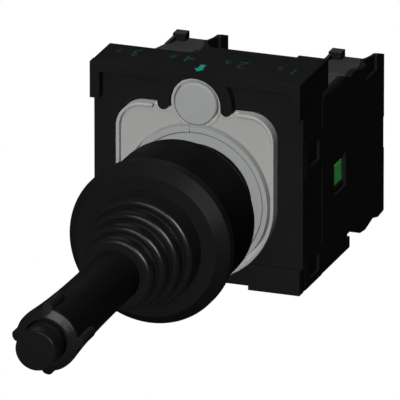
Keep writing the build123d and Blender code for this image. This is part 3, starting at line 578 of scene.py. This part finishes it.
def rounded(corners, steps=5):
    """Corners (r, y, radius) become points, with an arc wherever the radius is not 0."""
    points = []
    for i, (r, y, radius) in enumerate(corners):
        here = Vector((r, y))
        if not radius:
            points.append(here)
            continue
        before = (Vector(corners[i - 1][:2]) - here).normalized()
        after = (Vector(corners[(i + 1) % len(corners)][:2]) - here).normalized()
        half = before.angle(after) / 2
        reach = radius / math.tan(half)
        middle = here + (before + after).normalized() * (radius / math.sin(half))
        first_spoke = here + before * reach - middle
        turn = first_spoke.angle_signed(here + after * reach - middle)
        for k in range(steps + 1):
            spoke = first_spoke.copy()
            spoke.rotate(Matrix.Rotation(-turn * k / steps, 2))
            points.append(middle + spoke)
    return points


def lathe(name, outline, material, segments=96, close=True):
    """An outline of (r, y) points, turned about the Y axis.

    An outline that isn't closed starts and ends on the axis.
    """
    mesh = bpy.data.meshes.new(name)
    work = bmesh.new()
    rings = []
    for s in range(segments):
        turn = 2 * math.pi * s / segments
        rings.append([
            work.verts.new((r * math.cos(turn) * MM, y * MM, r * math.sin(turn) * MM))
            for r, y in outline
        ])
    count = len(outline)
    for s in range(segments):
        one, two = rings[s], rings[(s + 1) % segments]
        for k in range(count if close else count - 1):
            n = (k + 1) % count
            work.faces.new((one[k], two[k], two[n], one[n]))
    bmesh.ops.remove_doubles(work, verts=work.verts, dist=1e-7)
    bmesh.ops.recalc_face_normals(work, faces=work.faces)
    work.to_mesh(mesh)
    work.free()
    smooth_shading(mesh, CREASE)
    mesh.materials.append(material)
    return stand(name, mesh)


# %% [markdown]
# The bellows is soft rubber that steps down in four ridges from the flange to the grip. A
# turned skin with rounded rims gives the row of bright arcs that the real one shows. In the
# real joystick one end stays on the collar and the other goes with the lever.


# %% Bellows
RIDGE_ROUND = 0.85               # front rim of a ridge
RIDGE_BACK_ROUND = 0.3
RIDGE_BACK = 1.0                 # a ridge's back rim, from the next ridge's face
GROOVE_END = 0.55                # end of the groove's floor, from the same face
GROOVE_ROUND = 0.2


def bellows_outline():
    """The skin's closed outline: its ridges outside, its steps inside."""
    outer = [(RIDGE_R, FLANGE_FRONT + BELLOWS_SEAT, 0)]
    for i in range(RIDGES):
        ridge = RIDGE_R - RIDGE_STEP * i
        groove = ridge - GROOVE_DEPTH
        face = FLANGE_FRONT - FIRST_RIDGE - RIDGE_PITCH * i
        if i:
            next_face = face + RIDGE_PITCH
            outer.append((groove, next_face, 0))
            outer.append((groove, next_face - GROOVE_END, GROOVE_ROUND))
            outer.append((ridge, next_face - RIDGE_BACK, RIDGE_BACK_ROUND))
        outer.append((ridge, face, RIDGE_ROUND))
    outer.append((GRIP_R, GRIP_START, 0))
    last_hollow = ridge - GROOVE_DEPTH - BELLOWS_WALL
    inner = [
        (TUBE_R + 0.05, GRIP_START, 0),
        (TUBE_R + 0.05, GRIP_START + BELLOWS_WALL, 0),
        (last_hollow, GRIP_START + BELLOWS_WALL, 0),
        (last_hollow, GRIP_START + RIDGE_PITCH, 0),
        (last_hollow + 2 * RIDGE_STEP, FLANGE_FRONT - FIRST_RIDGE, 0),
        (FLANGE_BORE_R, FLANGE_FRONT, 0),
        (FLANGE_BORE_R, FLANGE_FRONT + BELLOWS_SEAT, 0),
    ]
    return rounded(outer + inner, steps=6)


bellows_skin = lathe("bellows_skin", bellows_outline(), materials["rubber"], segments=128)
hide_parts("bellows")
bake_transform(bellows_skin)
print("bellows faces:", len(bellows_skin.data.polygons))

# %% [markdown]
# The grip is a long, slightly flared sleeve. Four short half-round ribs stand on its end.
# They repeat, so a Geometry Nodes tree sets one rib four times around the axis. The rib
# itself is a small capsule with a round nose, made once.

# %% Grip sleeve and rib
FLARE_STEPS = 24
RIB_R = 0.95
RIB_CENTRE = GRIP_END_R - 0.05
RIB_TAPER = 2.2 * RIB_R          # the rib's rear end runs out over this length
END_RING_R = 5.75
END_RING_SLOPE = 0.9 / 1.25


def grip_outline():
    """The sleeve's closed outline. Outside it widens with the cube of the way to its end."""
    points = []
    for k in range(FLARE_STEPS):
        t = k / FLARE_STEPS
        flare = (GRIP_END_R - GRIP_R) * t ** 3
        points.append((GRIP_R + flare, GRIP_START + (GRIP_END - GRIP_START) * t, 0))
    points += [
        (GRIP_END_R - 0.07, GRIP_END, 0.04),
        (CHAMBER_R, GRIP_END, 0),
        (CHAMBER_R, CHAMBER_START, 0),
        (TUBE_R, CHAMBER_START, 0),
        (TUBE_R, GRIP_START, 0),
    ]
    return rounded(points)


def rib_mesh():
    """One rib along Y: round behind, and sloped in front as the end ring is."""
    profile = [(share * RIB_R, GRIP_END) for share in (0.0, 0.3, 0.6, 0.85, 0.97)]
    profile += [(RIB_R, GRIP_END + 0.1), (RIB_R, RIB_START)]
    for k in range(1, 7):
        turn = math.pi / 2 * k / 6
        profile.append((RIB_R * math.cos(turn), RIB_START + RIB_TAPER * math.sin(turn)))
    shape = lathe("grip_rib_shape", profile, materials["black_plastic"],
                  segments=32, close=False)
    shape.data.transform(Matrix.Translation((RIB_CENTRE * MM, 0, 0)))
    rim = GRIP_END - 0.36 * END_RING_DEPTH - 0.04
    for vertex in shape.data.vertices:
        x, y, z = vertex.co / MM
        if y < GRIP_END + 0.15:
            front = rim - (END_RING_R - math.hypot(x, z)) * END_RING_SLOPE
            vertex.co.y = (front + (y - GRIP_END)) * MM
    return shape


print("rib radius:", RIB_R, "mm")

# %% [markdown]
# The tree below is used for all that repeats. It takes a small object, sets it on the
# points of a mesh and turns each copy by the point's own "turn" attribute. The result is
# read back as a plain mesh, so that no modifier is left on the piece.


# %% Geometry Nodes: set copies on points
def geometry_group(name, inputs):
    """An empty Geometry Nodes tree with named inputs after the geometry."""
    geometry = ("Geometry", "NodeSocketGeometry")
    return new_group(name, [(*geometry, None), *inputs], [geometry], "GeometryNodeTree")


def paint_result(tree, geometry, inside, outside):
    """Make the geometry real, give it the Finish input and put it out."""
    real = node(tree, "GeometryNodeRealizeInstances")
    paint = node(tree, "GeometryNodeSetMaterial")
    feed(tree, real.inputs["Geometry"], geometry)
    feed_all(tree, paint.inputs, {
        "Geometry": real.outputs["Geometry"], "Material": inside.outputs["Finish"],
    })
    feed(tree, outside.inputs["Geometry"], paint.outputs["Geometry"])


def copies_tree():
    """Copies of one object on the points of a mesh."""
    tree, inside, outside = geometry_group("copies_on_points", [
        ("Shape", "NodeSocketObject", None),
        ("Size", "NodeSocketFloat", 1.0),
        ("Finish", "NodeSocketMaterial", None),
    ])
    info = node(tree, "GeometryNodeObjectInfo", transform_space="ORIGINAL")
    turn = node(tree, "GeometryNodeInputNamedAttribute", data_type="FLOAT_VECTOR", Name="turn")
    place = node(tree, "GeometryNodeInstanceOnPoints")
    feed(tree, info.inputs["Object"], inside.outputs["Shape"])
    feed_all(tree, place.inputs, {
        "Points": inside.outputs["Geometry"],
        "Instance": info.outputs["Geometry"],
        "Rotation": turn.outputs["Attribute"],
        "Scale": inside.outputs["Size"],
    })
    paint_result(tree, place.outputs["Instances"], inside, outside)
    return tree


COPIES = copies_tree()


def run_tree(name, tree, start_mesh, values):
    """Put a tree on a mesh, evaluate it, and keep the plain result."""
    holder = stand(name, start_mesh)
    modifier = holder.modifiers.new("tree", "NODES")
    modifier.node_group = tree
    for item in tree.interface.items_tree:
        if item.in_out == "INPUT" and item.name in values:
            modifier[item.identifier] = values[item.name]
    result = evaluated_mesh(holder)
    holder.modifiers.clear()
    holder.data = result
    return holder


def copies(name, shape, places, turns, material):
    """Copies of shape at places, each turned by its own angles."""
    points = bpy.data.meshes.new(name + "_points")
    points.from_pydata([Vector(p) * MM for p in places], [], [])
    attribute = points.attributes.new("turn", "FLOAT_VECTOR", "POINT")
    attribute.data.foreach_set("vector", [a for t in turns for a in t])
    made = run_tree(name, COPIES, points, {"Shape": shape, "Size": 1.0, "Finish": material})
    bpy.data.objects.remove(shape)
    return made


print("tree:", COPIES.name)

# %% [markdown]
# The sleeve and its ribs are one moulding, so they become one piece. It may hold several
# materials: each face keeps the one that its part had.


# %% Build the grip with its ribs
def join(name, parts):
    """One mesh object from several, in place, each with its own material."""
    used = []
    work = bmesh.new()
    for part in parts:
        before = len(work.faces)
        work.from_mesh(part.data)
        work.faces.ensure_lookup_table()
        material = part.data.materials[0]
        if material not in used:
            used.append(material)
        for face in work.faces[before:]:
            face.material_index = used.index(material)
    mesh = bpy.data.meshes.new(name)
    work.to_mesh(mesh)
    work.free()
    for material in used:
        mesh.materials.append(material)
    for part in parts:
        bpy.data.objects.remove(part)
    return stand(name, mesh)


sleeve = lathe("sleeve", grip_outline(), materials["grip_plastic_painted_shade"], segments=112)
ribs = copies(
    "grip_ribs", rib_mesh(), [(0, 0, 0)] * 4,
    [(0, math.pi / 2 * k, 0) for k in range(4)], materials["black_plastic"],
)
grip_sleeve = join("grip_sleeve", [sleeve, ribs])
smooth_shading(grip_sleeve.data, CREASE)
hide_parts("lever_grip")
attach(grip_sleeve, "lever")
print("grip faces:", len(grip_sleeve.data.polygons))

# %% [markdown]
# The tip button is a plain cap whose rim is broken by a small radius. The radius catches
# one thin line of light, which a chamfer would not.

# %% Tip button
button_cap = lathe(
    "button_cap",
    rounded([
        (0.0, BUTTON_FACE, 0),
        (BUTTON_R, BUTTON_FACE, 0.32),
        (BUTTON_R, BUTTON_REAR, 0.1),
        (ROD_R, BUTTON_REAR, 0),
        (ROD_R, BUTTON_REAR - ROD_SEAT, 0),
        (0.0, BUTTON_REAR - ROD_SEAT, 0),
    ]),
    materials["gloss_plastic"], close=False,
)
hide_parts("tip_button")
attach(button_cap, "button")
print("button faces:", len(button_cap.data.polygons))

# %% [markdown]
# Five compression springs work inside. A spring follows a rule, so it is a Geometry Nodes
# tree: a spiral curve with a round wire swept along it. The curve stands on Z and is laid
# along Y inside the tree.


# %% Springs
def spring_tree():
    """A round wire swept along a spiral, laid along Y."""
    tree, inside, outside = geometry_group("coil_spring", [
        ("Coil Radius", "NodeSocketFloat", 0.002),
        ("Wire Radius", "NodeSocketFloat", 0.0002),
        ("Length", "NodeSocketFloat", 0.005),
        ("Turns", "NodeSocketFloat", 3.0),
        ("Start", "NodeSocketVector", None),
        ("Finish", "NodeSocketMaterial", None),
    ])
    given = inside.outputs
    spiral = node(tree, "GeometryNodeCurveSpiral", Resolution=28)
    feed_all(tree, spiral.inputs, {
        "Rotations": given["Turns"], "Start Radius": given["Coil Radius"],
        "End Radius": given["Coil Radius"], "Height": given["Length"],
    })
    wire = node(tree, "GeometryNodeCurvePrimitiveCircle", Resolution=10)
    feed(tree, wire.inputs["Radius"], given["Wire Radius"])
    sweep = node(tree, "GeometryNodeCurveToMesh")
    feed_all(tree, sweep.inputs, {
        "Curve": spiral.outputs["Curve"], "Profile Curve": wire.outputs["Curve"],
        "Fill Caps": True,
    })
    lay = node(tree, "GeometryNodeTransform")
    feed_all(tree, lay.inputs, {
        "Geometry": sweep.outputs["Mesh"], "Translation": given["Start"],
        "Rotation": (-math.pi / 2, 0, 0),
    })
    soft = node(tree, "GeometryNodeSetShadeSmooth")
    feed(tree, soft.inputs["Geometry"], lay.outputs["Geometry"])
    paint_result(tree, soft.outputs["Geometry"], inside, outside)
    return tree


SPRING = spring_tree()


def spring(name, x, y0, y1, radius, wire, turns):
    """A spring from y0, on the moving body, to y1, on the still one."""
    made = run_tree(name, SPRING, bpy.data.meshes.new(name), {
        "Coil Radius": radius * MM,
        "Wire Radius": wire * MM,
        "Length": (y1 - y0 - 2 * wire) * MM,
        "Turns": float(turns),
        "Start": (x * MM, (y0 + wire) * MM, 0.0),
        "Finish": materials["steel"],
    })
    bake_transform(made)
    return made


springs = [spring("button_coil", 0, BUTTON_REAR, CHAMBER_START, 2.4, 0.3, 4)]
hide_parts("button_spring")
for side, word in ((1, "right"), (-1, "left")):
    centring = spring(word + "_centring_coil", side * NOSE_X, YOKE_REAR, BUSH_FRONT,
                      1.95, 0.2, 4)
    plunger = spring(word + "_plunger_coil", side * SLOT_X[1], PLUNGER_END, CAVITY_END,
                     2.0, 0.25, 5)
    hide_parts(word + "_centring_spring")
    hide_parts(word + "_plunger_spring")
    springs += [centring, plunger]
print("springs:", [s.name for s in springs])

# %% [markdown]
# Four terminal screws sit in the backs of the modules. Each has a round head with a
# combined slot and cross recess. One head is cut with booleans, then set four times.

# %% Terminal screws
SHANK_R = 1.5
SHANK_FRONT = 32.0
HEAD_R = 2.4
HEAD_FRONT = 43.0
HEAD_BACK = 45.0
RECESSES = ((4.9, 0.7), (0.7, 3.2))    # width and height of the slot and the cross arm
RECESS_DEPTH = 1.0
SCREW_TURN = 0.35                # each screw stands turned by this much more, in radians


def screw_shape():
    """One screw along Y, with its recess cut by two blocks."""
    body = lathe("screw_body", rounded([
        (0.0, SHANK_FRONT, 0), (SHANK_R - 0.2, SHANK_FRONT, 0), (SHANK_R, SHANK_FRONT + 0.4, 0),
        (SHANK_R, HEAD_FRONT, 0), (HEAD_R, HEAD_FRONT, 0), (HEAD_R, HEAD_BACK, 0.4),
        (0.0, HEAD_BACK, 0),
    ]), materials["steel"], segments=40, close=False)
    cutters = []
    for wide, tall in RECESSES:
        bpy.ops.mesh.primitive_cube_add(size=1)
        cutter = bpy.context.object
        cutter.data.transform(Matrix.Diagonal((wide * MM, 2 * RECESS_DEPTH * MM, tall * MM, 1)))
        cutter.data.transform(Matrix.Translation((0, HEAD_BACK * MM, 0)))
        cut = body.modifiers.new("recess", "BOOLEAN")
        cut.object = cutter
        cut.operation = "DIFFERENCE"
        cut.solver = "EXACT"
        cutters.append(cutter)
    mesh = evaluated_mesh(body)
    body.modifiers.clear()
    body.data = mesh
    for cutter in cutters:
        bpy.data.objects.remove(cutter)
    return body


spots = [(x, 0, z) for x in SLOT_X for z in (-TERMINAL_Z, TERMINAL_Z)]
screws = copies("terminal_screw_set", screw_shape(), spots,
                [(0, SCREW_TURN * k, 0) for k in range(4)], materials["steel"])
smooth_shading(screws.data, 30)
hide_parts("terminal_screws")
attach(screws, "base")
print("screw faces:", len(screws.data.polygons))

# %% [markdown]
# The holder's top face carries small printed slot numerals and an arrow that shows which
# way up it goes. Their heads point to the front. They are plain digits in green ink, made
# as text, turned to mesh and laid a few hundredths of a millimetre proud of the face.

# %% Slot numerals and arrow
SMALL, LARGE = 2.0, 3.3
CAPITAL = 0.7                    # height of a digit as a share of the font's size
INK_HALF = 0.015                 # half the ink's thickness
INK_LIFT = 0.005                 # its middle stands this far above the face
THINNER = 0.028                  # strokes are drawn in by this share of the font's size
NUMERALS = (
    ("7", -16.8, 7.4, SMALL), ("3", -13.5, 7.0, LARGE),
    ("8", -6.7, 7.5, SMALL), ("4", -3.6, 7.4, LARGE),
    ("6", 3.6, 7.9, SMALL), ("2", 6.5, 7.3, LARGE),
    ("5", 13.6, 7.8, SMALL), ("1", 16.4, 7.2, LARGE),
)
ARROW = ((-0.52, 4.95), (0.52, 4.95), (0.52, 2.75), (1.0, 2.75), (0.0, 1.25),
         (-1.0, 2.75), (-0.52, 2.75))
ink = finish("green_ink", (0.009, 0.100, 0.068), (0.02, 0.13, 0.09), 0.6, 0.1, marks=0.3,
             mark_tone=(0.008, 0.07, 0.05))
bright_ink = finish("arrow_ink", (0.012, 0.270, 0.190), (0.03, 0.30, 0.22), 0.6, 0.1,
                    marks=0.2, mark_tone=(0.008, 0.22, 0.15))


def numeral(digit, x, y, height):
    """One digit flat on the top face, its head towards the front."""
    text = bpy.data.curves.new("digit", "FONT")
    text.body = digit
    text.size = height * MM / CAPITAL
    text.align_x = "CENTER"
    text.align_y = "CENTER"
    text.extrude = INK_HALF * MM
    text.offset = -THINNER * text.size
    text.resolution_u = 4
    holder = stand("digit", text)
    mesh = evaluated_mesh(holder)
    bpy.data.objects.remove(holder)
    mesh.transform(Matrix.Diagonal((-1.0, -1, 1, 1)))
    mesh.transform(Matrix.Translation((x * MM, y * MM, (FRAME_TOP + INK_LIFT) * MM)))
    mesh.materials.clear()
    mesh.materials.append(ink)
    return stand("digit", mesh)


def prism(name, corners, z0, z1, material):
    """A flat shape of (x, y) corners with straight sides from z0 to z1."""
    mesh = bpy.data.meshes.new(name)
    work = bmesh.new()
    low, high = (
        [work.verts.new((x * MM, y * MM, z * MM)) for x, y in corners] for z in (z0, z1)
    )
    work.faces.new(high)
    work.faces.new(list(reversed(low)))
    for k in range(len(corners)):
        n = (k + 1) % len(corners)
        work.faces.new((low[k], low[n], high[n], high[k]))
    bmesh.ops.recalc_face_normals(work, faces=work.faces)
    work.to_mesh(mesh)
    work.free()
    mesh.materials.append(material)
    return stand(name, mesh)


slot_numerals = join("slot_numerals", [numeral(*row) for row in NUMERALS])
ink_middle = FRAME_TOP + INK_LIFT
holder_arrow = prism(
    "holder_arrow", ARROW, ink_middle - INK_HALF, ink_middle + INK_HALF, bright_ink,
)
for made in (slot_numerals, holder_arrow):
    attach(made, "base")
print("numerals:", len(NUMERALS))

# %% [markdown]
# The joystick stands in plain air over a wide pale floor. Far from it the floor fades to
# plain white for the camera, while close by it keeps the real shadow. Polished plastic sees
# the floor as nearly dark, or its lower edges would shine. The room itself is dim to all
# rays but the camera's, so that the lamps alone decide the light.

# %% Floor and world
FLOOR_Z = -0.20
FLOOR_R = 9.0
SHADOW_R, WHITE_R = 0.15, 0.34   # the floor fades to white between these radii
FLOOR_NEAR, FLOOR_FAR = (0.80, 0.80, 0.80), (0.05, 0.05, 0.05)
FLOOR_IN_GLOSS = 0.03
ROOM_LEVEL = 0.012


def seen_by_eye(tree):
    """Light Path, and a value that is 1 for camera rays and for rays through glass."""
    rays = node(tree, "ShaderNodeLightPath").outputs
    return rays, maths(tree, "MAXIMUM", rays["Is Camera Ray"], rays["Is Transmission Ray"])


def floor_material():
    """A matt floor that fades to a plain white glow away from the object."""
    material = bpy.data.materials.new("pale_floor")
    material.use_nodes = True
    tree = material.node_tree
    shader = tree.nodes["Principled BSDF"]
    rays, seen = seen_by_eye(tree)
    far = vector_maths(tree, "LENGTH", object_place(tree))
    fade = remap(tree, far, SHADOW_R, WHITE_R, 0.5, smooth=True)
    feed_all(tree, shader.inputs, {
        "Base Color": mix_colour(tree, fade, FLOOR_NEAR, FLOOR_FAR),
        "Roughness": 0.9, "Specular IOR Level": 0.0,
    })
    in_gloss = maths(tree, "MULTIPLY", rays["Is Glossy Ray"], FLOOR_IN_GLOSS)
    glow = node(tree, "ShaderNodeEmission")
    feed(tree, glow.inputs["Strength"], maths(tree, "MAXIMUM", seen, in_gloss))
    white = maths(tree, "MULTIPLY", seen, fade)
    mix = node(tree, "ShaderNodeMixShader")
    feed(tree, mix.inputs[0], maths(tree, "MAXIMUM", white, rays["Is Glossy Ray"]))
    feed(tree, mix.inputs[1], shader.outputs["BSDF"])
    feed(tree, mix.inputs[2], glow.outputs[0])
    feed(tree, tree.nodes["Material Output"].inputs["Surface"], mix.outputs[0])
    return material


bpy.ops.mesh.primitive_circle_add(vertices=96, radius=FLOOR_R, fill_type="NGON")
floor = bpy.context.object
floor.name = "studio_floor"
floor.location = (0, 0, FLOOR_Z)
floor.data.materials.append(floor_material())

world = bpy.data.worlds.new("dim_room")
bpy.context.scene.world = world
world.use_nodes = True
sky = world.node_tree
level = remap(sky, seen_by_eye(sky)[1], 0.0, 1.0, ROOM_LEVEL)
feed_all(sky, sky.nodes["Background"].inputs, {"Strength": level, "Color": (1, 1, 1, 1)})
print("floor and world:", floor.name, world.name)

# %% [markdown]
# Five lamps light it. A large soft lamp from the upper front gives the shadows, and a fill
# without shadow stands with it so that dark plastic stays readable. The rim lamp from the
# upper right is seen only in gloss: it draws the bright arcs on the bellows. A weak lamp
# and a second fill light the back.

# %% Lamps
FRONT = (0.06, -0.80, 0.58)
LAMPS = (
    # name, direction, distance, level, size, what it does
    ("front_softbox", FRONT, 1.3, 0.18, 0.9, "light"),
    ("front_fill", FRONT, 1.3, 1.16, 0.9, "fill"),
    ("back_lamp", (-0.25, 0.84, 0.48), 1.2, 0.010, 0.60, "light"),
    ("rim_lamp", (0.72, -0.46, 0.52), 1.2, 0.42, 0.70, "gloss"),
    ("back_fill", (-0.55, 0.82, 0.12), 1.3, 0.95, 0.9, "fill"),
)


def lamp(name, direction, distance, level, size, role):
    """An area lamp that lights a facing white surface to the given level."""
    data = bpy.data.lights.new(name, "AREA")
    data.shape = "DISK"
    data.size = size
    data.energy = level * math.pi ** 2 * distance ** 2
    data.use_shadow = role != "fill"
    made = stand(name, data)
    made.visible_glossy = role != "fill"
    made.visible_diffuse = role != "gloss"
    way = Vector(direction).normalized()
    made.location = way * distance
    made.rotation_mode = "QUATERNION"
    made.rotation_quaternion = way.to_track_quat("Z", "Y")
    return made


print("lamps:", [lamp(*row).name for row in LAMPS])

# %% [markdown]
# The photograph is nearly parallel, so the camera stands back with a very long lens. Its
# frame is 71.8 mm wide at the joystick.

# %% Camera
AZIMUTH, ELEVATION = 19.82, 19.91
FIELD = 71.76
LENS, SENSOR = 1600.0, 36.0
TARGET = Vector((1.053, 0.0, 0.202)) * MM
camera_data = bpy.data.cameras.new("photo_camera")
camera_data.lens = LENS
camera_data.sensor_width = SENSOR
camera_data.clip_start = 0.1
camera_data.clip_end = 30.0
camera = stand("photo_camera", camera_data)
a, e = math.radians(AZIMUTH), math.radians(ELEVATION)
toward = Vector((math.sin(a) * math.cos(e), -math.cos(a) * math.cos(e), math.sin(e)))
distance = FIELD * MM * LENS / SENSOR
camera.location = TARGET + toward * distance
camera.rotation_mode = "QUATERNION"
camera.rotation_quaternion = toward.to_track_quat("Z", "Y")
bpy.context.scene.camera = camera
bpy.context.scene.view_settings.view_transform = "Standard"
print("camera distance:", round(distance, 3), "m")
